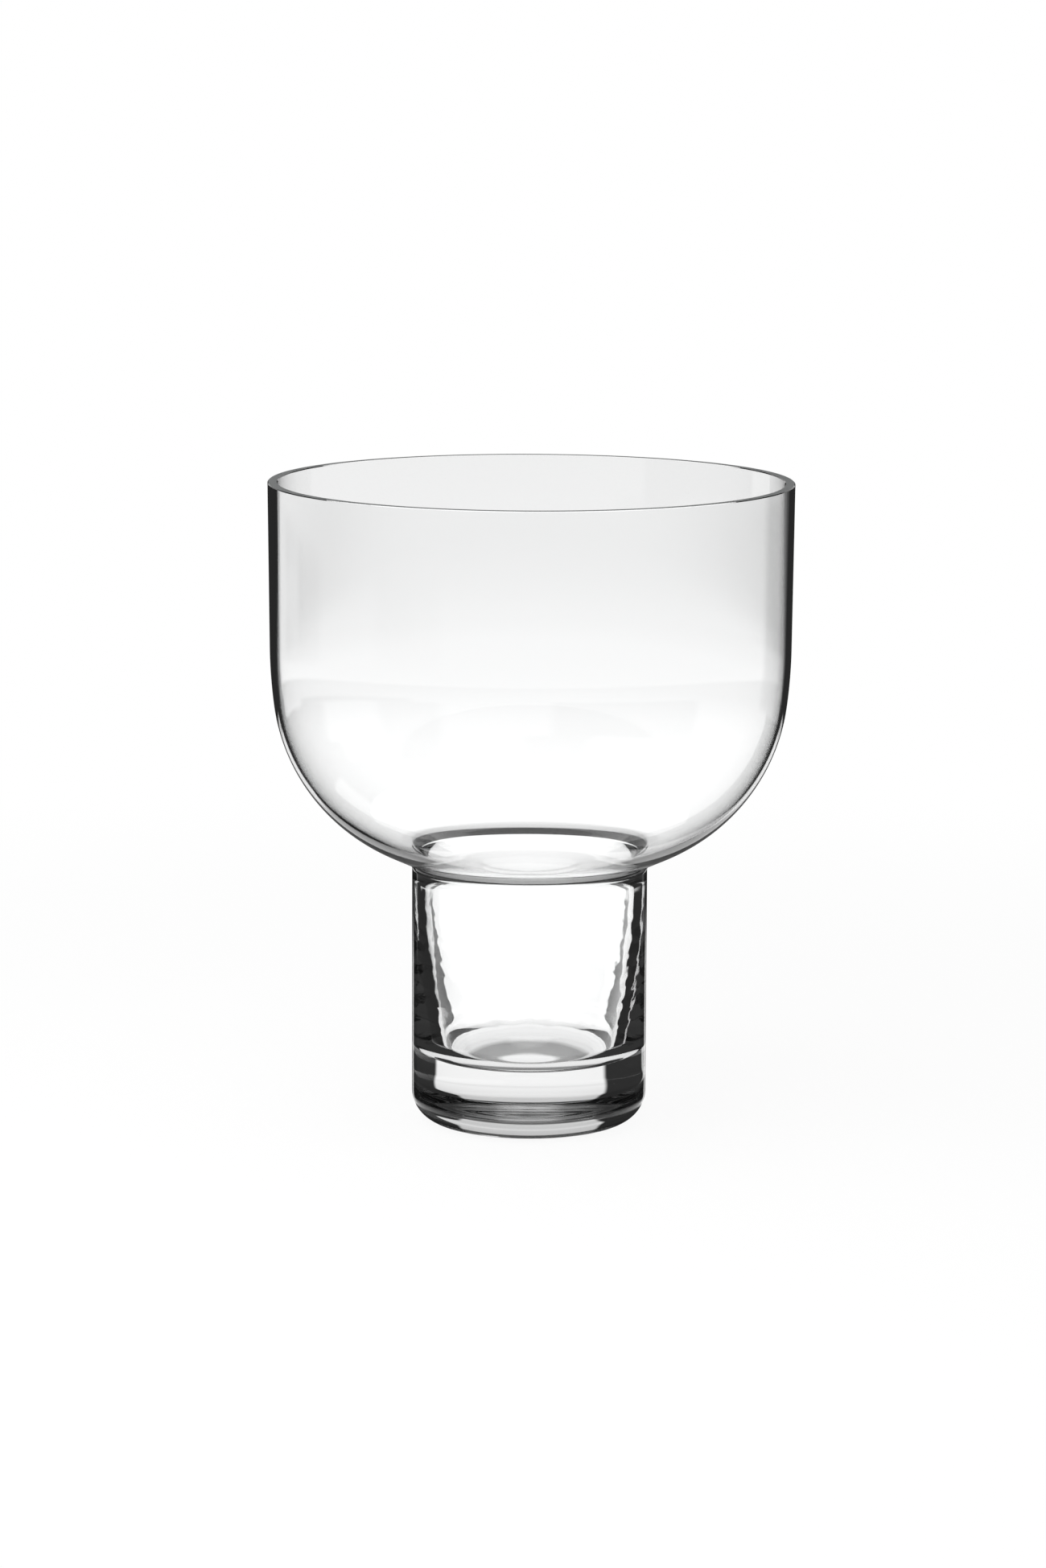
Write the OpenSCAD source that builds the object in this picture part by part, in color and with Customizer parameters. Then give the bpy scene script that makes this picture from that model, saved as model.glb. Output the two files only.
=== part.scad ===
// Footed flower vase in clear glass. A wide blown bowl, open at its bottom, is
// fused by a thin clear seam onto a heavy cup-shaped foot, so that bowl and foot
// hold one body of water. Every piece is turned about the Z axis, the foot stands
// on z = 0, and all lengths are millimetres.

/* [Bowl] */
// Outside diameter of the mouth, across the ground rim
mouth_d = 230; // [190:1:260]
// Length of the nearly straight wall below the rim
wall_run = 72.5; // [50:0.5:110]
// Inward lean of the straight wall, degrees from upright
wall_lean = 0.56; // [0.1:0.02:2]
// Radius of the gentle bend that follows the straight wall
shoulder_r = 215; // [160:5:260]
// Lean where the gentle bend passes into the belly, degrees from upright
shoulder_lean = 7.5; // [5:0.5:11]
// Lean where the belly passes into the straight underside, degrees from upright
belly_lean = 65.4; // [60:0.2:70]
// Width of the straight underside, from the foot out to the belly
under_w = 12.8; // [8:0.2:24]
// Glass thickness at the rim
rim_wall = 4.4; // [3.4:0.1:6]
// Glass thickness of the belly, where it was blown thinnest
belly_wall = 2.7; // [2:0.1:4]
// Glass thickness of the underside
under_wall = 3.2; // [2.4:0.1:4.6]
// Width of the fine bevel on both edges of the ground rim
rim_bevel = 0.35; // [0.1:0.05:0.6]

/* [Foot] */
// Outside diameter of the foot
foot_d = 103.8; // [96:0.2:116]
// Height of the foot up to the seam
foot_h = 113.5; // [90:0.5:150]
// Radius of the rounded edge round the underside
foot_edge_r = 13.5; // [6:0.5:20]
// Glass thickness of the foot's wall at its top
foot_wall = 5.6; // [4.4:0.1:8]
// Thickness of the solid base below the cavity
base_t = 29; // [16:0.5:44]
// Radius of the barrel curve that narrows the cavity downwards
cavity_side_r = 365; // [280:5:600]
// Radius of the round corner between the cavity's wall and its floor
cavity_corner_r = 11; // [5:0.5:15]

/* [Seam] */
// Height of the clear fused seam between foot and bowl
seam_h = 2.2; // [1:0.1:4]
// How far the seam's bead stands out from the foot
seam_bead = 0.25; // [0.1:0.05:0.6]
// Radius of the rounded inner lip where the bowl's floor turns down into the foot
lip_r = 13; // [8:0.5:15]

/* [Hidden] */

$fn = 180;
// Counts of straight steps along the wall, along one bend and along a small edge
wall_steps = 6;
bend_steps = 20;
edge_steps = 12;
// Where along the belly the glass is thinnest, as a share of the belly's run
thin_share = 0.5;
// Clear colourless glass with a trace of grey-green, and its show-through
glass_tint = [0.90, 0.94, 0.94];
seam_tint = [0.84, 0.90, 0.92];
glass_alpha = 0.45;

mouth_r = mouth_d / 2;
foot_r = foot_d / 2;
// Height of the plane where the bowl sits on the seam
seat_z = foot_h + seam_h;

function mix(a, b, share) = a + (b - a) * share;
function ease(share) = share * share * (3 - 2 * share);
// Length of an arc of radius r between two leans
function arc_run(r, from, to) = r * (to - from) * PI / 180;

// Stations down the outside of the bowl. Each is [radius, depth below the rim, lean, run].
function wall_station(run) =
    [mouth_r - run * sin(wall_lean), run * cos(wall_lean), wall_lean, run];
function bend_station(start, r, from, lean) =
    [start[0] - r * (cos(from) - cos(lean)),
     start[1] + r * (sin(lean) - sin(from)),
     lean,
     start[3] + arc_run(r, from, lean)];

wall_end = wall_station(wall_run);
shoulder_end = bend_station(wall_end, shoulder_r, wall_lean, shoulder_lean);
// The belly is the one arc that joins the gentle bend to the straight underside
belly_r = (shoulder_end[0] - foot_r - under_w) / (cos(shoulder_lean) - cos(belly_lean));
belly_end = bend_station(shoulder_end, belly_r, shoulder_lean, belly_lean);
bowl_h = belly_end[1] + under_w / tan(belly_lean);
rim_z = seat_z + bowl_h;

stations = concat(
    [for (k = [1 : wall_steps]) wall_station(wall_run * k / wall_steps)],
    [for (k = [1 : bend_steps])
        bend_station(wall_end, shoulder_r, wall_lean, mix(wall_lean, shoulder_lean, k / bend_steps))],
    [for (k = [1 : bend_steps])
        bend_station(shoulder_end, belly_r, shoulder_lean, mix(shoulder_lean, belly_lean, k / bend_steps))]
);

// The glass thins from the rim to the belly and thickens again to the underside
thin_run = mix(shoulder_end[3], belly_end[3], thin_share);
function wall_at(run) =
    run < thin_run
        ? mix(rim_wall, belly_wall, ease(run / thin_run))
        : mix(belly_wall, under_wall, ease((run - thin_run) / (belly_end[3] - thin_run)));

function outer_point(s) = [s[0], rim_z - s[1]];
function inner_point(s) =
    let (t = wall_at(s[3]))
    [s[0] - t * cos(s[2]), rim_z - s[1] + t * sin(s[2])];

// The inner lip is one arc that rises upright from the foot's cavity and turns
// outwards until it lies along the bowl's inner floor
cavity_r = foot_r - foot_wall;
lip_end_r = cavity_r + lip_r * (1 - cos(belly_lean));
lip_end_run = (lip_end_r - foot_r + under_wall * cos(belly_lean)) / sin(belly_lean);
lip_end_z = seat_z + lip_end_run * cos(belly_lean) + under_wall * sin(belly_lean);
lip_z = lip_end_z - lip_r * sin(belly_lean);

function lip_point(turn) = [cavity_r + lip_r * (1 - cos(turn)), lip_z + lip_r * sin(turn)];
function lip_turn(z) = asin(max(0, min(1, (z - lip_z) / lip_r)));
function lip_arc(from, to) =
    [for (k = [0 : edge_steps]) lip_point(mix(from, to, k / edge_steps))];

foot_lip_turn = lip_turn(foot_h);
seat_lip_turn = lip_turn(seat_z);

// The cavity's side is a shallow barrel curve that ends in the round floor corner
corner_turn = asin((lip_z - cavity_corner_r - base_t) / (cavity_side_r - cavity_corner_r));
function side_point(turn) =
    [cavity_r - cavity_side_r * (1 - cos(turn)), lip_z - cavity_side_r * sin(turn)];
corner_centre = side_point(corner_turn)
    + cavity_corner_r * [-cos(corner_turn), sin(corner_turn)];
function corner_point(turn) = corner_centre + cavity_corner_r * [cos(turn), -sin(turn)];

// Blown bowl: flat ground rim, straight wall, round belly and an open bottom
module bowl() {
    rim = [
        [mouth_r - rim_wall, rim_z - rim_bevel],
        [mouth_r - rim_wall + rim_bevel, rim_z],
        [mouth_r - rim_bevel, rim_z],
        [mouth_r, rim_z - rim_bevel]
    ];
    outside = [for (s = stations) outer_point(s)];
    inside = [for (k = [len(stations) - 1 : -1 : 0]) inner_point(stations[k])];
    color(glass_tint, glass_alpha)
        rotate_extrude()
            polygon(concat(rim, outside, [[foot_r, seat_z]],
                lip_arc(seat_lip_turn, belly_lean), inside));
}

// Clear fused seam: a flat ring with a fine bead outside and its share of the lip inside
module seam_ring() {
    bead = [for (k = [0 : edge_steps])
        [foot_r + seam_bead * sin(180 * k / edge_steps), foot_h + seam_h * k / edge_steps]];
    color(seam_tint, glass_alpha)
        rotate_extrude()
            polygon(concat(bead, lip_arc(seat_lip_turn, foot_lip_turn)));
}

// Heavy foot: solid base, rounded lower edge and a tapering cavity open at the top
module foot() {
    edge = [for (k = [0 : edge_steps])
        let (turn = 90 * k / edge_steps)
        [foot_r - foot_edge_r * (1 - sin(turn)), foot_edge_r * (1 - cos(turn))]];
    side = [for (k = [1 : bend_steps - 1]) side_point(corner_turn * k / bend_steps)];
    corner = [for (k = [0 : edge_steps]) corner_point(mix(corner_turn, 90, k / edge_steps))];
    color(glass_tint, glass_alpha)
        rotate_extrude()
            polygon(concat([[0, 0]], edge, [[foot_r, foot_h]],
                lip_arc(foot_lip_turn, 0), side, corner, [[0, base_t]]));
}

bowl();
seam_ring();
foot();
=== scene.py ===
import math

import bpy
from mathutils import Matrix, Vector


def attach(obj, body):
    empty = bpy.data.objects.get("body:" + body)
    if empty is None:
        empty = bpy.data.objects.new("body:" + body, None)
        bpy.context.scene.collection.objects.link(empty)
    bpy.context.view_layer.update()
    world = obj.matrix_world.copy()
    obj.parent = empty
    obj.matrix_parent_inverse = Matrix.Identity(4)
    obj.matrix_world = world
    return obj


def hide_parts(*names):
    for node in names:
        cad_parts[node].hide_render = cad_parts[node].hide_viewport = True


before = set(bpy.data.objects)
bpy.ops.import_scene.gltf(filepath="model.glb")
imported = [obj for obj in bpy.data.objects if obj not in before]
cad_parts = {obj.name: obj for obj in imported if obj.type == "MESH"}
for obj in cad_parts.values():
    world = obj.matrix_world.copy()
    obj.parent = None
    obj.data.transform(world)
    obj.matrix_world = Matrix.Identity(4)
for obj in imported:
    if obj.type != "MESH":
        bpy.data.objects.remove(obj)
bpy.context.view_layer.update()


# Camera
# A long lens a little over two metres away, looking down on the mouth by about six
# degrees. It is turned a trace about its own axis, as the photograph is.
CAMERA_SPOT = (-0.0031, -2.2, 0.5267)
CAMERA_PITCH = 9.698
CAMERA_ROLL = 0.25
CAMERA_LENS = 116.31
SENSOR_WIDTH = 36

bpy.ops.object.camera_add()
camera = bpy.context.object
camera.name = "camera"
camera.data.lens = CAMERA_LENS
camera.data.sensor_width = SENSOR_WIDTH
camera.matrix_world = (
    Matrix.Translation(CAMERA_SPOT)
    @ Matrix.Rotation(math.radians(90 - CAMERA_PITCH), 4, "X")
    @ Matrix.Rotation(math.radians(CAMERA_ROLL), 4, "Z")
)
bpy.context.scene.camera = camera


# Studio walls
# The room round the table is painted by direction, and by how the light went through the
# glass, as the panels and black cards of a glass photographer: white low down, dark cards
# beside it, a soft panel overhead.
class Wire:
    """One socket of a shader tree. Sums on wires add Math nodes."""

    def __init__(self, socket):
        self.socket = socket

    def math(self, operation, *values):
        return add_node(self.socket.id_data, "ShaderNodeMath", {"operation": operation}, values)

    def __add__(self, other):
        return self.math("ADD", self, other)

    def __radd__(self, other):
        return self.math("ADD", other, self)

    def __sub__(self, other):
        return self.math("SUBTRACT", self, other)

    def __rsub__(self, other):
        return self.math("SUBTRACT", other, self)

    def __mul__(self, other):
        return self.math("MULTIPLY", self, other)

    def __rmul__(self, other):
        return self.math("MULTIPLY", other, self)

    def __truediv__(self, other):
        return self.math("DIVIDE", self, other)


def add_node(tree, kind, settings=None, values=(), out=0):
    """Adds a node, sets its settings, then its sockets, by place or by name. A ramp's stops
    are pairs of a place and a grey level or a colour. Returns one output."""
    node = tree.nodes.new(kind)
    for name, setting in (settings or {}).items():
        if name == "stops":
            ramp = node.color_ramp
            while len(ramp.elements) < len(setting):
                ramp.elements.new(1.0)
            for element, (place, shade) in zip(ramp.elements, setting):
                is_grey = isinstance(shade, (int, float))
                element.position = place
                element.color = (shade, shade, shade, 1) if is_grey else shade
        else:
            setattr(node, name, setting)
    pairs = values.items() if isinstance(values, dict) else enumerate(values)
    for key, value in pairs:
        if isinstance(value, Wire):
            tree.links.new(value.socket, node.inputs[key])
        else:
            node.inputs[key].default_value = value
    return Wire(node.outputs[out]) if node.outputs else None


def step_between(value, low, high):
    """0 below low, 1 above high and a soft step between them."""
    return add_node(
        value.socket.id_data,
        "ShaderNodeMapRange",
        {"interpolation_type": "SMOOTHSTEP"},
        {"Value": value, "From Min": low, "From Max": high},
    )


def within(value, low, high, soft):
    """1 between low and high and 0 outside, with soft edges."""
    return step_between(value, low - soft, low) * (1 - step_between(value, high, high + soft))


def more_than(count, number):
    """1 where a count is above a whole number, and 0 elsewhere."""
    return count.math("GREATER_THAN", count, number + 0.5)


def at_most(count, number):
    """1 where a count is a whole number or less, and 0 elsewhere."""
    return count.math("LESS_THAN", count, number + 0.5)


def choose(picked, other, share):
    """The picked level where the share is 1, and the other where it is 0."""
    return picked * share + other * (1 - share)


world = bpy.data.worlds.new("studio_walls")
world.use_nodes = True
bpy.context.scene.world = world
walls = world.node_tree
walls.nodes.clear()
look = add_node(walls, "ShaderNodeTexCoord", out="Generated")
split = add_node(walls, "ShaderNodeSeparateXYZ", values=(look,)).socket.node
across, away, up = (Wire(socket) for socket in split.outputs)
# All angles of the walls are degrees. Azimuth is 0 straight behind the vase and grows to
# the right, and height is above the horizon.
DEGREES = 180 / math.pi
azimuth = across.math("ARCTAN2", across, away) * DEGREES
height = up.math("ARCSINE", up) * DEGREES


def ramp_place(degrees):
    """Where a height from -90 to 90 degrees lies on a ramp from 0 to 1."""
    return degrees / 180 + 0.5


def by_height(*stops):
    """Light level by the height, from pairs of degrees and level."""
    places = tuple((ramp_place(degrees), level) for degrees, level in stops)
    return add_node(walls, "ShaderNodeValToRGB", {"stops": places}, (ramp_place(height),))


def apart_from(centre):
    """Degrees round the table from a centre, either way."""
    apart = azimuth.math("WRAP", azimuth - centre, 180, -180)
    return apart.math("ABSOLUTE", apart)


# What shows straight through two thin walls: white low down and pale grey higher up. In
# all these rules a pair of angles is the start and end of a soft edge or of a card.
off_axis = apart_from(0)
sweep = by_height(
    (-90, 1.16), (-9.4, 1.16), (-8.7, 1.11), (-8.4, 1.085), (-8.25, 1.05), (-8.1, 1.005),
    (-7.5, 0.97), (-7.0, 0.955), (-6.8, 0.94), (-6.67, 0.91), (-6.54, 0.88), (-6.3, 0.835),
    (0, 0.85), (10, 0.8), (20, 0.78), (60, 0.78),
)
# The grey part is darker to both sides, and more so to the right
GREY_PART = (-6.6, -6.1)
BOTH_SIDES = (1.5, 5.5)
BOTH_SIDES_DARK = 0.14
RIGHT_SIDE = (4, 12)
RIGHT_SIDE_DARK = 0.3
dark_sides = BOTH_SIDES_DARK * step_between(off_axis, *BOTH_SIDES)
dark_sides = dark_sides + RIGHT_SIDE_DARK * step_between(azimuth, *RIGHT_SIDE)
sweep = sweep * (1 - dark_sides * step_between(height, *GREY_PART))
# Further round it is nearly white at every height, for whoever walks round the vase
FAR_ROUND = (50, 70)
FAR_LEVEL = 0.95
sweep = sweep.math("MAXIMUM", sweep, FAR_LEVEL * step_between(off_axis, *FAR_ROUND))
# A strip of black card shows through the foot's wall, wider lower down
STRIP_INNER_EDGE = (15.2, 16)
STRIP_OUTER_EDGE = (19, 20.5)
STRIP_HEIGHT = (-33, -13.5)
STRIP_SOFT = 2
STRIP_DARK = 0.9
WIDER_BELOW = -20
WIDER_BY = 1.3
below = WIDER_BELOW - height
spread = below.math("MAXIMUM", below, 0) * WIDER_BY
strip = step_between(off_axis, *STRIP_INNER_EDGE)
strip = strip * (1 - step_between(off_axis - spread, *STRIP_OUTER_EDGE))
thin_glass = sweep * (1 - STRIP_DARK * strip * within(height, *STRIP_HEIGHT, STRIP_SOFT))

# What shows through the solid base, or over the rim through one wall: a white panel
# between black cards, dark far overhead. High up it is narrower, and low down it stands
# a little to the right.
PANEL_HALF_WIDTH = 35.2
PANEL_SHIFT = 5.8
PANEL_NARROWING = 8
PANEL_TOP = (6, 12)
PANEL_SOFT = 1.5
BESIDE_HEIGHT = (-18, -15)
BESIDE_DARK = 0.97
panel = by_height(
    (-90, 0.95), (-9, 0.98), (-7, 0.95), (-6.3, 0.88), (-6, 0.84), (-4, 0.93), (0, 0.88),
    (6, 0.8), (9, 0.62), (19, 0.6), (21, 0.08), (35, 0.03), (90, 0.03),
)
panel_top = step_between(height, *PANEL_TOP)
panel_shift = PANEL_SHIFT * azimuth.math("SIGN", azimuth) * (1 - panel_top)
panel_edge = PANEL_HALF_WIDTH + panel_shift - PANEL_NARROWING * panel_top
beside_panel = step_between(off_axis - panel_edge, -PANEL_SOFT, PANEL_SOFT)
beside_panel = beside_panel * step_between(height, *BESIDE_HEIGHT)
# Two more white panels stand at the side and behind, for whoever walks round the vase
SIDE_PANEL = (-125, -72)
BACK_PANEL = (100, 170)
WIDE_SOFT = 4
beside_panel = beside_panel * (1 - within(azimuth, *SIDE_PANEL, WIDE_SOFT))
beside_panel = beside_panel * (1 - within(azimuth, *BACK_PANEL, WIDE_SOFT))
solid_glass = panel * (1 - BESIDE_DARK * beside_panel)

# The black cards' edges, as angles from the line of sight that they are set up for
BOWL_CARD_EDGE = (33, 34)
FOOT_CARD = (21.5, 45)
INNER_CARD_EDGE = (11.5, 12)
CARD_SOFT = 0.8


def black_cards(centre, bottom, middle, top, soft=1, inner=0):
    """Black cards on both sides of a line of sight. The pair from middle to top draws the
    bowl's edges. The pair from bottom to middle has a slit of light, and draws the foot's."""
    apart = apart_from(centre)
    for_bowl = 1 - step_between(apart, BOWL_CARD_EDGE[0], BOWL_CARD_EDGE[1] + soft)
    for_foot = within(apart, *FOOT_CARD, 2 * soft)
    innermost = 1 - step_between(apart, INNER_CARD_EDGE[0], INNER_CARD_EDGE[1] + soft)
    for_foot = for_foot + inner * innermost
    high = within(height, middle, top, CARD_SOFT)
    low = within(height, bottom, middle - CARD_SOFT, CARD_SOFT)
    return for_bowl * high + for_foot * low


# What the edges gather by one reflection inside the glass, as painted reflections: the black
# cards, and at the right a grey card that gets lighter in two steps
GREY_CARD = (25, 52)
GREY_CARD_SOFT = 5
GREY_CARD_HEIGHT = (-11, 2)
GREY_CARD_HEIGHT_SOFT = 1
FIRST_STEP = (26, 30)
FIRST_LIGHTER = 0.2
SECOND_STEP = (36, 39)
SECOND_LIGHTER = 0.18
cards = black_cards(0, bottom=-60, middle=-11, top=3, inner=0.9)
at_right = within(azimuth, *GREY_CARD, GREY_CARD_SOFT)
at_right = at_right * within(height, *GREY_CARD_HEIGHT, GREY_CARD_HEIGHT_SOFT)
grey_card = 1.0 - FIRST_LIGHTER * step_between(azimuth, *FIRST_STEP)
grey_card = grey_card - SECOND_LIGHTER * step_between(azimuth, *SECOND_STEP)
cards = cards + (grey_card - cards) * at_right
# More cards draw the edges for whoever looks from the side, from behind or from above
other_cards = black_cards(-90, bottom=-5.8, middle=-5.6, top=2, soft=WIDE_SOFT)
other_cards = other_cards + black_cards(-90, bottom=-32, middle=-11, top=-11, soft=WIDE_SOFT)
other_cards = other_cards + black_cards(135, bottom=-40, middle=-19, top=-11.5, soft=WIDE_SOFT)
other_cards = other_cards + black_cards(-45, bottom=-45, middle=-29, top=-21, soft=WIDE_SOFT)

# How often the light was reflected by the glass, and how often it went in or out of it. The
# levels are picked by these counts, so the glass's dark edges, bright bands and dark insides
# are painted reflections and painted shade.
path = walls.nodes.new("ShaderNodeLightPath")
from_camera = Wire(path.outputs["Is Camera Ray"])
from_floor = Wire(path.outputs["Is Diffuse Ray"])
bounces = Wire(path.outputs["Glossy Depth"])
crossings = Wire(path.outputs["Transmission Depth"])

CARDS_DARK = 0.98
ABOVE_CARDS = (2.6, 3.4)
cards = cards + other_cards * more_than(crossings, 0)
table_fade = by_height((-90, 1.0), (-9, 1.0), (-6, 0.85), (3, 0.8))
edge_glass = (1 - CARDS_DARK * cards.math("MINIMUM", cards, 1)) * table_fade
edge_glass = choose(solid_glass, edge_glass, step_between(height, *ABOVE_CARDS))
# Painted dark reflection: what the foot's outside reflects, without going into the glass, is
# set dark low down to the sides and front
FRONT_EDGE = (34, 37)
FRONT_HEIGHT = (-45, -10.9)
FRONT_SOFT = 0.6
DARK_REFLECTION_LEVEL = 0.04
painted_dark_reflection = step_between(off_axis, *FRONT_EDGE) * within(height, *FRONT_HEIGHT, FRONT_SOFT)
edge_glass = choose(DARK_REFLECTION_LEVEL, edge_glass, painted_dark_reflection * at_most(crossings, 0))
# Light that went in and out once came through the solid base or one wall. With more
# crossings it came through two walls, and once reflected on the way it is white.
WHITE = 1.0
IN_AND_OUT = 2
through_one = crossings.math("COMPARE", crossings, IN_AND_OUT, 0.5)
straight = choose(solid_glass, thin_glass, through_one)
reflected = choose(WHITE, edge_glass, more_than(crossings, IN_AND_OUT))
# Light that goes on inside the glass is painted dark, but for a painted soft panel overhead.
# It was reflected three times, or twice where it went in and out no more than once.
TRAPPED_FROM = 2.2
trapped = by_height(
    (-90, 0.03), (48, 0.03), (54, 0.23), (69, 0.23), (72, 0.78), (83, 0.78), (88, 0.2), (90, 0.2),
)
held = bounces + 0.5 * at_most(crossings, IN_AND_OUT)
reflected = choose(trapped, reflected, held.math("GREATER_THAN", held, TRAPPED_FROM))
# The floor gets a plain level from the walls, and the open view past the vase is white
FLOOR_LIGHT = 0.42
in_glass = choose(reflected, straight, more_than(bounces, 0))
on_floor = choose(FLOOR_LIGHT, in_glass, from_floor)
level = choose(WHITE, on_floor, from_camera)
background = add_node(walls, "ShaderNodeBackground", values={"Color": level, "Strength": 1.0})
add_node(walls, "ShaderNodeOutputWorld", values={"Surface": background})


# Floor
# A plain pale sheet that the foot stands on, a hair below it. It reads white from where
# it is seen, and keeps a share of its own light for the vase's faint shadow. Through the
# glass it goes on as the white sweep, but for the shade right under the foot.
FLOOR_SIZE = 24
FLOOR_DROP = 0.0002
SHEET_COLOUR = (0.95, 0.95, 0.95, 1)
PLAIN_WHITE = (1, 1, 1, 1)
# The share of plain white in view, and the radii between which it grows to all of it
WHITE_SHARE = 0.85
ALL_WHITE = (0.3, 0.9)
# The shade is painted on a disc under the foot, with its levels given per reach
SHADE_REACH = 0.1
DISC_EDGE = (0.06, 0.075)
# How dark the disc is in the foot's outside and after a second reflection, and its level
# after one or two reflections deeper in the glass
REFLECTION_EDGE = (0.056, 0.06)
REFLECTION_DARK = 0.96
DEEP_LEVEL = 0.85

bpy.ops.object.select_all(action="DESELECT")
bpy.ops.mesh.primitive_plane_add(size=FLOOR_SIZE, location=(0, 0, -FLOOR_DROP))
bpy.ops.object.transform_apply(location=True)
floor = bpy.context.object
floor.name = "floor"
sheet = bpy.data.materials.new("floor_sheet")
sheet.use_nodes = True
tree = sheet.node_tree
tree.nodes.clear()
place = add_node(tree, "ShaderNodeTexCoord", out="Object")
from_foot = add_node(tree, "ShaderNodeVectorMath", {"operation": "LENGTH"}, (place,), out="Value")
rings = (
    (0, 0.95), (0.12, 0.95), (0.16, 0.27), (0.3, 0.22), (0.35, 0.85), (0.5, 0.9), (0.6, 1.0),
)
contact = add_node(tree, "ShaderNodeValToRGB", {"stops": rings}, (from_foot / SHADE_REACH,))
path = tree.nodes.new("ShaderNodeLightPath")
in_view = Wire(path.outputs["Is Camera Ray"])
seen_in_glass = Wire(path.outputs["Is Glossy Ray"]) + Wire(path.outputs["Is Transmission Ray"])
seen_in_glass = seen_in_glass.math("MINIMUM", seen_in_glass, 1)
bounces = Wire(path.outputs["Glossy Depth"])
crossings = Wire(path.outputs["Transmission Depth"])
lit = add_node(tree, "ShaderNodeBsdfDiffuse", values={"Color": SHEET_COLOUR})
white = add_node(tree, "ShaderNodeEmission", values={"Color": PLAIN_WHITE, "Strength": 1.0})
outside = at_most(crossings, 0) * (1 - step_between(from_foot, *REFLECTION_EDGE))
hidden = outside.math("MAXIMUM", outside, more_than(bounces, 1))
once_or_twice = bounces.math("COMPARE", bounces, 1.5, 0.6)
deep_in_glass = once_or_twice * more_than(crossings, IN_AND_OUT)
shown = contact * (1 - REFLECTION_DARK * hidden)
shown = shown + (DEEP_LEVEL - shown) * deep_in_glass
shade = add_node(tree, "ShaderNodeEmission", values={"Color": shown, "Strength": 1.0})
beyond = add_node(tree, "ShaderNodeBsdfTransparent", values={"Color": PLAIN_WHITE})
white_share = WHITE_SHARE + (1 - WHITE_SHARE) * step_between(from_foot, *ALL_WHITE)
open_floor = add_node(tree, "ShaderNodeMixShader", values=(in_view * white_share, lit, white))
on_disc = 1 - step_between(from_foot, *DISC_EDGE)
under_foot = add_node(tree, "ShaderNodeMixShader", values=(on_disc, beyond, shade))
both = add_node(tree, "ShaderNodeMixShader", values=(seen_in_glass, open_floor, under_foot))
add_node(tree, "ShaderNodeOutputMaterial", values=(both,))
floor.data.materials.append(sheet)


# Soft lamp
# One large square lamp over the table gives the floor its light and the vase its soft
# shadow. The glass sees the painted panels and not this lamp.
LAMP_SPOT = (-0.5, -0.6, 1.6)
LAMP_SIZE = 1.4
LAMP_POWER = 26

bpy.ops.object.light_add(type="AREA", location=LAMP_SPOT)
lamp = bpy.context.object
lamp.name = "soft_lamp"
lamp.data.size = LAMP_SIZE
lamp.data.energy = LAMP_POWER
lamp.rotation_euler = (-Vector(LAMP_SPOT)).to_track_quat("-Z", "Y").to_euler()
lamp.visible_glossy = False
lamp.visible_transmission = False


# Foot
# A heavy pressed cup of clear glass: a thick solid base, a rounded lower edge and a
# tapering cavity whose wall keeps the faint waves of its mould. It stands on the floor.
FOOT_R = 0.0519
FOOT_H = 0.1135
FOOT_EDGE_R = 0.0135
FOOT_WALL = 0.0056
BASE_T = 0.029
CAVITY_SIDE_R = 0.365
CAVITY_CORNER_R = 0.011
# The seam's height, the bowl's underside, its glass and its lean, and the lip that joins
# it to the cavity
SEAM_H = 0.0022
UNDER_WALL = 0.0032
BELLY_LEAN = math.radians(65.4)
LIP_R = 0.013
# The mould's waves, the stretch over which they set in at both ends of the cavity's side,
# and how far inside the foot's outer wall that side is looked for
WAVE_SIZE = 0.006
WAVE_DEPTH = 0.00012
WAVE_FADE = 0.012
WAVE_INSET = 0.003
# Steps round the vase and along the stretches of the outline
TURN_STEPS = 240
BOTTOM_STEPS = 6
EDGE_STEPS = 20
SIDE_STEPS = 24
LIP_STEPS = 8
CAVITY_SIDE_STEPS = 96
CAVITY_FLOOR_STEPS = 8
DOT_SIZE = 0.001
MERGE_GAP = 1e-6
SMOOTH_ANGLE = math.radians(30)
# A face lies on a level when its centre is this near to it, and is flat when its normal
# points up or down by more than this
LEVEL_GAP = 1e-5
FLAT = 0.9
# The glass's tint and its fine cords: how many per metre and how deep. A height scale
# below 1 stands the cords upright, and one above 1 lays them level.
GLASS_IOR = 1.5
FOOT_TINT = (0.985, 0.99, 0.99)
CORD_SCALE = 300
UPRIGHT_CORDS = 0.12
FOOT_CORD_DEPTH = 6e-6
SHADOW_GREY = (0.9, 0.9, 0.9, 1)

# The lip is one arc that rises upright from the cavity and turns out over the bowl's floor
SEAT_Z = FOOT_H + SEAM_H
CAVITY_R = FOOT_R - FOOT_WALL
lip_end_r = CAVITY_R + LIP_R * (1 - math.cos(BELLY_LEAN))
lip_end_run = (lip_end_r - FOOT_R + UNDER_WALL * math.cos(BELLY_LEAN)) / math.sin(BELLY_LEAN)
lip_end_z = SEAT_Z + lip_end_run * math.cos(BELLY_LEAN) + UNDER_WALL * math.sin(BELLY_LEAN)
LIP_Z = lip_end_z - LIP_R * math.sin(BELLY_LEAN)
LIP_CENTRE = (CAVITY_R + LIP_R, LIP_Z)


def lip_turn(height):
    """How far the lip's arc has turned from upright at this height."""
    return math.asin(min(1, max(0, (height - LIP_Z) / LIP_R)))


def lip_radius(height):
    """How far the lip's arc is from the vase's axis at this height."""
    return LIP_CENTRE[0] - LIP_R * math.cos(lip_turn(height))


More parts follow.
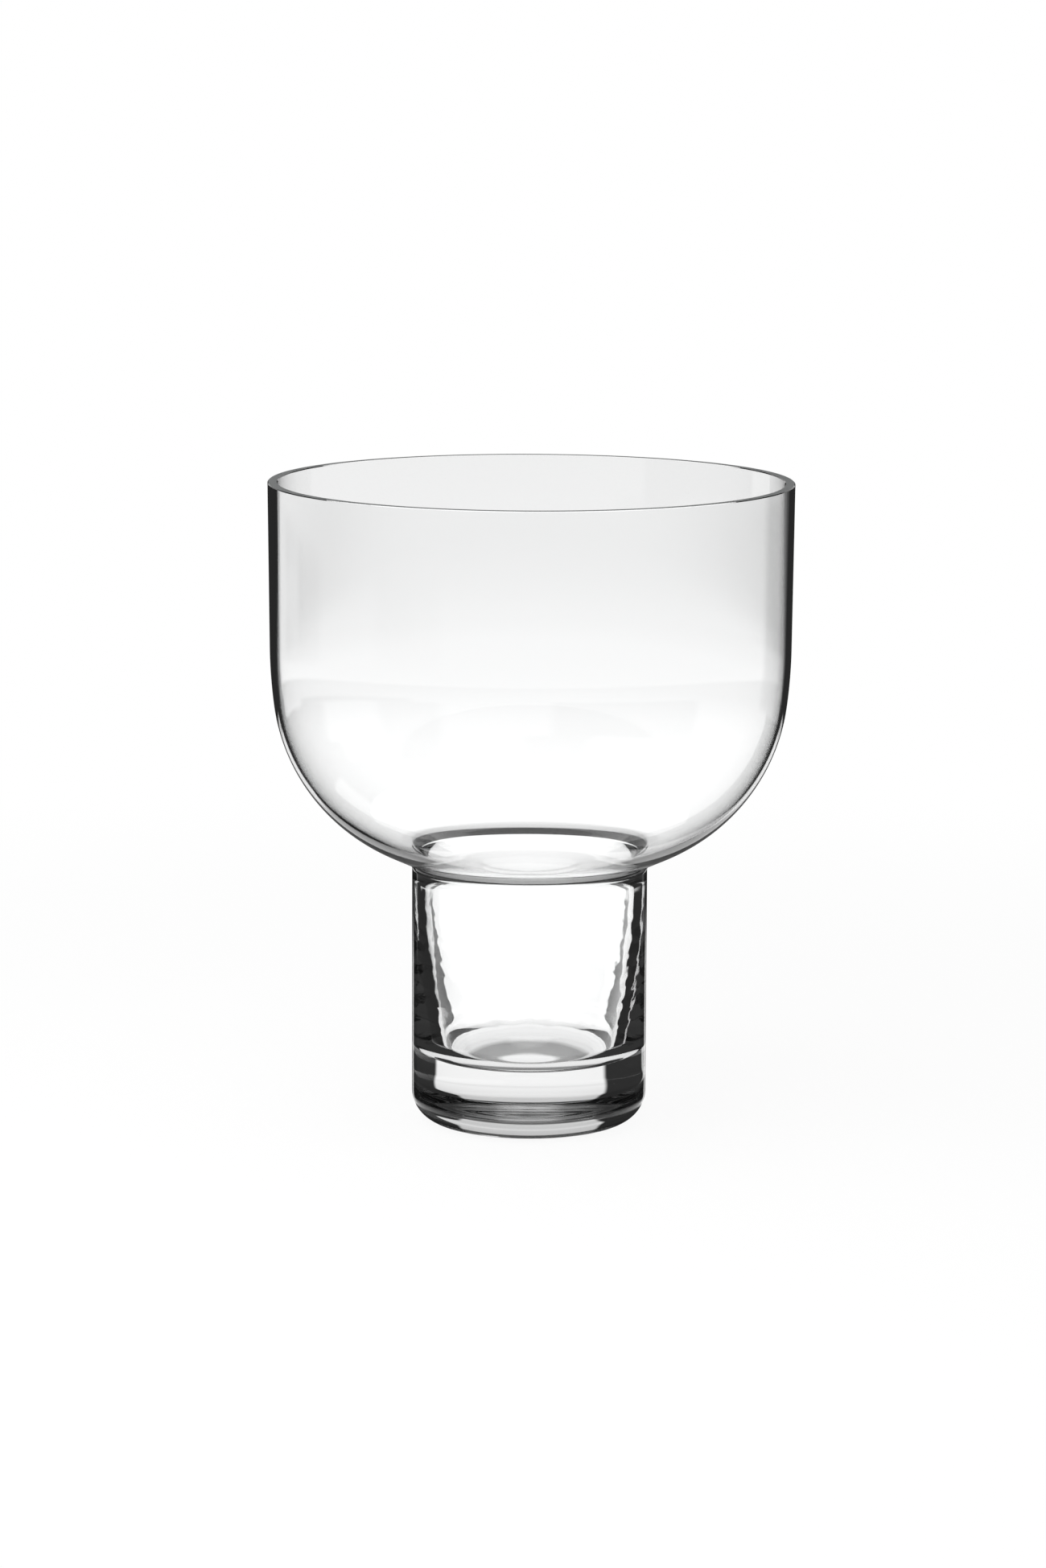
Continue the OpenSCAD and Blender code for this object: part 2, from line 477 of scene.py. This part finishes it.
def start_outline(name, radius, height):
    """Adds one point in edit mode, from which an outline is drawn in the XZ plane."""
    bpy.ops.object.select_all(action="DESELECT")
    bpy.ops.mesh.primitive_plane_add(size=DOT_SIZE, location=(radius, 0, height))
    bpy.ops.object.transform_apply(location=True)
    bpy.context.object.name = name
    bpy.ops.object.mode_set(mode="EDIT")
    bpy.ops.mesh.merge(type="CENTER")
    return [radius, height]


def draw_line(pen, radius, height, steps=1):
    """Draws on to a point in straight steps."""
    move = ((radius - pen[0]) / steps, 0, (height - pen[1]) / steps)
    for _ in range(steps):
        bpy.ops.mesh.extrude_vertices_move(TRANSFORM_OT_translate={"value": move})
    pen[:] = radius, height


def draw_arc(pen, centre, turn, steps):
    """Draws on along an arc about a centre. A positive turn goes anticlockwise, as seen
    with the vase's axis on the left."""
    bpy.ops.mesh.spin(steps=steps, angle=turn, center=(centre[0], 0, centre[1]), axis=(0, 1, 0))
    out, rise = pen[0] - centre[0], pen[1] - centre[1]
    pen[:] = (
        centre[0] + out * math.cos(turn) - rise * math.sin(turn),
        centre[1] + out * math.sin(turn) + rise * math.cos(turn),
    )


def turn_outline():
    """Turns the drawn outline round the Z axis into a closed skin with outward faces."""
    bpy.ops.mesh.select_all(action="SELECT")
    bpy.ops.mesh.remove_doubles(threshold=MERGE_GAP)
    bpy.ops.mesh.spin(steps=TURN_STEPS, angle=math.tau, center=(0, 0, 0), axis=(0, 0, 1))
    bpy.ops.mesh.select_all(action="SELECT")
    bpy.ops.mesh.remove_doubles(threshold=MERGE_GAP)
    bpy.ops.mesh.normals_make_consistent(inside=False)
    bpy.ops.object.mode_set(mode="OBJECT")
    bpy.ops.object.shade_smooth_by_angle(angle=SMOOTH_ANGLE)
    return bpy.context.object


def paint_faces(piece, material, wanted):
    """Gives the faces whose centre and normal are wanted a material of their own."""
    piece.data.materials.append(material)
    slot = len(piece.data.materials) - 1
    for polygon in piece.data.polygons:
        if wanted(polygon.center, polygon.normal):
            polygon.material_index = slot


def clear_glass(name, tint, cord_depth, cord_height_scale):
    """Clear glass with a trace of tint and faint cords left by the making."""
    material = bpy.data.materials.new(name)
    material.use_nodes = True
    tree = material.node_tree
    tree.nodes.clear()
    place = add_node(tree, "ShaderNodeTexCoord", out="Object")
    scaled = add_node(
        tree, "ShaderNodeMapping", values={"Vector": place, "Scale": (1, 1, cord_height_scale)}
    )
    cords = add_node(
        tree,
        "ShaderNodeTexNoise",
        values={"Vector": scaled, "Scale": CORD_SCALE, "Detail": 2, "Roughness": 0.4},
    )
    colour = add_node(
        tree,
        "ShaderNodeMix",
        {"data_type": "RGBA"},
        {"Factor": cords, "A": (*tint, 1), "B": PLAIN_WHITE},
        out="Result",
    )
    bump = add_node(
        tree, "ShaderNodeBump", values={"Strength": 1.0, "Distance": cord_depth, "Height": cords}
    )
    glass = add_node(
        tree,
        "ShaderNodeBsdfPrincipled",
        values={
            "Base Color": colour,
            "Roughness": 0.0,
            "IOR": GLASS_IOR,
            "Transmission Weight": 1.0,
            "Normal": bump,
        },
    )
    through = add_node(tree, "ShaderNodeBsdfTransparent", values={"Color": SHADOW_GREY})
    path = tree.nodes.new("ShaderNodeLightPath")
    lets_light = add_node(
        tree, "ShaderNodeMixShader", values=(Wire(path.outputs["Is Shadow Ray"]), glass, through)
    )
    add_node(tree, "ShaderNodeOutputMaterial", values=(lets_light,))
    return material


def bonded_glass():
    """The faces where two pieces were fused. Light goes straight on through them."""
    material = bpy.data.materials.new("bonded_face")
    material.use_nodes = True
    tree = material.node_tree
    tree.nodes.clear()
    through = add_node(tree, "ShaderNodeBsdfTransparent", values={"Color": PLAIN_WHITE})
    add_node(tree, "ShaderNodeOutputMaterial", values=(through,))
    return material


BONDED = bonded_glass()

pen = start_outline("foot_glass", 0, 0)
draw_line(pen, FOOT_R - FOOT_EDGE_R, 0, BOTTOM_STEPS)
draw_arc(pen, (FOOT_R - FOOT_EDGE_R, FOOT_EDGE_R), math.pi / 2, EDGE_STEPS)
draw_line(pen, FOOT_R, FOOT_H, SIDE_STEPS)
draw_line(pen, lip_radius(FOOT_H), FOOT_H)
draw_arc(pen, LIP_CENTRE, lip_turn(FOOT_H), LIP_STEPS)
corner_turn = math.asin((LIP_Z - CAVITY_CORNER_R - BASE_T) / (CAVITY_SIDE_R - CAVITY_CORNER_R))
draw_arc(pen, (CAVITY_R - CAVITY_SIDE_R, LIP_Z), -corner_turn, CAVITY_SIDE_STEPS)
corner_centre = (
    pen[0] - CAVITY_CORNER_R * math.cos(corner_turn),
    pen[1] + CAVITY_CORNER_R * math.sin(corner_turn),
)
draw_arc(pen, corner_centre, corner_turn - math.pi / 2, EDGE_STEPS)
draw_line(pen, 0, BASE_T, CAVITY_FLOOR_STEPS)
foot = turn_outline()
# The waves lie on the cavity's side only, as small dents that a smooth noise pushes in and out
waved = foot.vertex_groups.new(name="cavity_side")
for vertex in foot.data.vertices:
    inside = math.hypot(vertex.co.x, vertex.co.y) < FOOT_R - WAVE_INSET
    from_end = min(vertex.co.z - BASE_T - CAVITY_CORNER_R, LIP_Z - vertex.co.z)
    if inside and from_end > 0:
        waved.add([vertex.index], min(1, from_end / WAVE_FADE), "REPLACE")
waves = foot.modifiers.new("waves", "DISPLACE")
waves.texture = bpy.data.textures.new("mould_waves", "CLOUDS")
waves.texture.noise_scale = WAVE_SIZE
waves.texture_coords = "LOCAL"
waves.strength = WAVE_DEPTH
waves.mid_level = 0.5
waves.vertex_group = waved.name
bpy.ops.object.modifier_apply(modifier=waves.name)
foot_glass = clear_glass("foot_glass", FOOT_TINT, FOOT_CORD_DEPTH, UPRIGHT_CORDS)
foot.data.materials.append(foot_glass)
paint_faces(
    foot, BONDED, lambda centre, normal: centre.z > FOOT_H - LEVEL_GAP and normal.z > FLAT
)
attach(foot, "root")
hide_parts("foot")


# Seam
# The ring where the hot bowl was pressed onto the foot: clear glass two millimetres high,
# with a fine bead outside and its share of the rounded lip inside.
SEAM_BEAD = 0.00025
BEAD_STEPS = 16
SEAM_TINT = (0.98, 0.99, 0.99)
# Fire-polished glass: its cords lie level and leave the surface smooth
LEVEL_CORDS = 3
NO_DEPTH = 0.0

pen = start_outline("seam_glass", FOOT_R, FOOT_H)
bead_r = (SEAM_H / 2) ** 2 / (2 * SEAM_BEAD) + SEAM_BEAD / 2
bead_turn = 2 * math.asin(SEAM_H / 2 / bead_r)
draw_arc(pen, (FOOT_R + SEAM_BEAD - bead_r, FOOT_H + SEAM_H / 2), bead_turn, BEAD_STEPS)
draw_line(pen, lip_radius(SEAT_Z), SEAT_Z)
draw_arc(pen, LIP_CENTRE, lip_turn(SEAT_Z) - lip_turn(FOOT_H), LIP_STEPS)
draw_line(pen, FOOT_R, FOOT_H)
seam = turn_outline()
seam_glass = clear_glass("seam_glass", SEAM_TINT, NO_DEPTH, LEVEL_CORDS)
seam.data.materials.append(seam_glass)
paint_faces(seam, BONDED, lambda centre, normal: abs(normal.z) > FLAT)
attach(seam, "root")
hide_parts("seam_ring")


# Bowl
# Blown clear glass, open at its bottom: an upright wall with a flat ground rim, one gentle
# bend, a round belly and a straight underside that is fused to the seam.
MOUTH_R = 0.115
WALL_RUN = 0.0725
WALL_LEAN = math.radians(0.56)
SHOULDER_R = 0.215
SHOULDER_LEAN = math.radians(7.5)
UNDER_W = 0.0128
RIM_WALL = 0.0044
RIM_BEVEL = 0.00035
BELLY_WALL = 0.0027
# Where along the belly the glass is thinnest, as a share of the belly's run
THIN_SHARE = 0.5
WALL_STEPS = 24
SHOULDER_STEPS = 16
BELLY_STEPS = 40
UNDER_STEPS = 4
BOWL_LIP_STEPS = 12
BOWL_TINT = (0.985, 0.99, 0.99)
# The ground rim: its two greys, which are partly painted shade, its grain per metre, and how
# rough and how shiny it is
DARK_GREY = (0.08, 0.085, 0.085, 1)
LIGHT_GREY = (0.17, 0.175, 0.175, 1)
GRAIN_SCALE = 900
LEAST_ROUGH = 0.35
GRAIN_ROUGH = 0.2
RIM_SHINE = 0.15


def mix(a, b, share):
    """The value that lies this share of the way from a to b."""
    return a + (b - a) * share


def ease(share):
    """A share from 0 to 1 that starts and ends gently."""
    return share * share * (3 - 2 * share)


# Stations down the outside, each with its radius, depth below the rim, lean and run
def wall_station(run):
    """The station on the straight wall at this run from the rim."""
    return MOUTH_R - run * math.sin(WALL_LEAN), run * math.cos(WALL_LEAN), WALL_LEAN, run


def bend_station(start, radius, lean):
    """The station on an arc of this radius, where it has turned from its start to this lean."""
    return (
        start[0] - radius * (math.cos(start[2]) - math.cos(lean)),
        start[1] + radius * (math.sin(lean) - math.sin(start[2])),
        lean,
        start[3] + radius * (lean - start[2]),
    )


wall_end = wall_station(WALL_RUN)
shoulder_end = bend_station(wall_end, SHOULDER_R, SHOULDER_LEAN)
belly_r = (shoulder_end[0] - FOOT_R - UNDER_W) / (math.cos(SHOULDER_LEAN) - math.cos(BELLY_LEAN))
belly_end = bend_station(shoulder_end, belly_r, BELLY_LEAN)
RIM_Z = SEAT_Z + belly_end[1] + UNDER_W / math.tan(BELLY_LEAN)
stations = [wall_station(WALL_RUN * k / WALL_STEPS) for k in range(1, WALL_STEPS + 1)]
for k in range(1, SHOULDER_STEPS + 1):
    lean = mix(WALL_LEAN, SHOULDER_LEAN, k / SHOULDER_STEPS)
    stations.append(bend_station(wall_end, SHOULDER_R, lean))
for k in range(1, BELLY_STEPS + 1):
    lean = mix(SHOULDER_LEAN, BELLY_LEAN, k / BELLY_STEPS)
    stations.append(bend_station(shoulder_end, belly_r, lean))


def wall_at(run):
    """Glass thickness at this run from the rim, thinnest halfway down the belly."""
    thin = mix(shoulder_end[3], belly_end[3], THIN_SHARE)
    if run < thin:
        return mix(RIM_WALL, BELLY_WALL, ease(run / thin))
    return mix(BELLY_WALL, UNDER_WALL, ease((run - thin) / (belly_end[3] - thin)))


def ground_glass():
    """The rim's flat top: satin, where it was ground with fine sand after cutting. Its grey
    is partly painted shade, the dimness that the ground glass shows in this light.
    """
    material = bpy.data.materials.new("ground_rim")
    material.use_nodes = True
    tree = material.node_tree
    tree.nodes.clear()
    place = add_node(tree, "ShaderNodeTexCoord", out="Object")
    grain = add_node(
        tree,
        "ShaderNodeTexNoise",
        values={"Vector": place, "Scale": GRAIN_SCALE, "Detail": 3, "Roughness": 0.6},
    )
    # A real grain between two greys, on a dark level that is painted shade
    greys = ((0.3, DARK_GREY), (0.7, LIGHT_GREY))
    grey = add_node(tree, "ShaderNodeValToRGB", {"stops": greys}, (grain,))
    roughness = LEAST_ROUGH + GRAIN_ROUGH * grain
    satin = add_node(
        tree,
        "ShaderNodeBsdfPrincipled",
        values={"Base Color": grey, "Roughness": roughness, "Specular IOR Level": RIM_SHINE},
    )
    add_node(tree, "ShaderNodeOutputMaterial", values=(satin,))
    return material


pen = start_outline("bowl_glass", FOOT_R, SEAT_Z)
for radius, depth, *_ in reversed(stations):
    draw_line(pen, radius, RIM_Z - depth)
draw_line(pen, MOUTH_R, RIM_Z - RIM_BEVEL)
draw_line(pen, MOUTH_R - RIM_BEVEL, RIM_Z)
draw_line(pen, MOUTH_R - RIM_WALL + RIM_BEVEL, RIM_Z)
draw_line(pen, MOUTH_R - RIM_WALL, RIM_Z - RIM_BEVEL)
for radius, depth, lean, run in stations:
    wall = wall_at(run)
    draw_line(pen, radius - wall * math.cos(lean), RIM_Z - depth + wall * math.sin(lean))
draw_line(pen, lip_end_r, lip_end_z, UNDER_STEPS)
draw_arc(pen, LIP_CENTRE, BELLY_LEAN - lip_turn(SEAT_Z), BOWL_LIP_STEPS)
draw_line(pen, FOOT_R, SEAT_Z)
bowl = turn_outline()
bowl_glass = clear_glass("bowl_glass", BOWL_TINT, NO_DEPTH, LEVEL_CORDS)
bowl.data.materials.append(bowl_glass)
paint_faces(
    bowl, BONDED, lambda centre, normal: centre.z < SEAT_Z + LEVEL_GAP and normal.z < -FLAT
)
paint_faces(
    bowl, ground_glass(), lambda centre, normal: centre.z > RIM_Z - LEVEL_GAP and normal.z > FLAT
)
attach(bowl, "root")
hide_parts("bowl")


# Picture settings
# Glass needs long light paths, and the colours are shown as they are.
MOST_BOUNCES = 24
MOST_REFLECTIONS = 16

scene = bpy.context.scene
scene.view_settings.view_transform = "Standard"
scene.cycles.max_bounces = MOST_BOUNCES
scene.cycles.transmission_bounces = MOST_BOUNCES
scene.cycles.glossy_bounces = MOST_REFLECTIONS
scene.cycles.transparent_max_bounces = MOST_BOUNCES
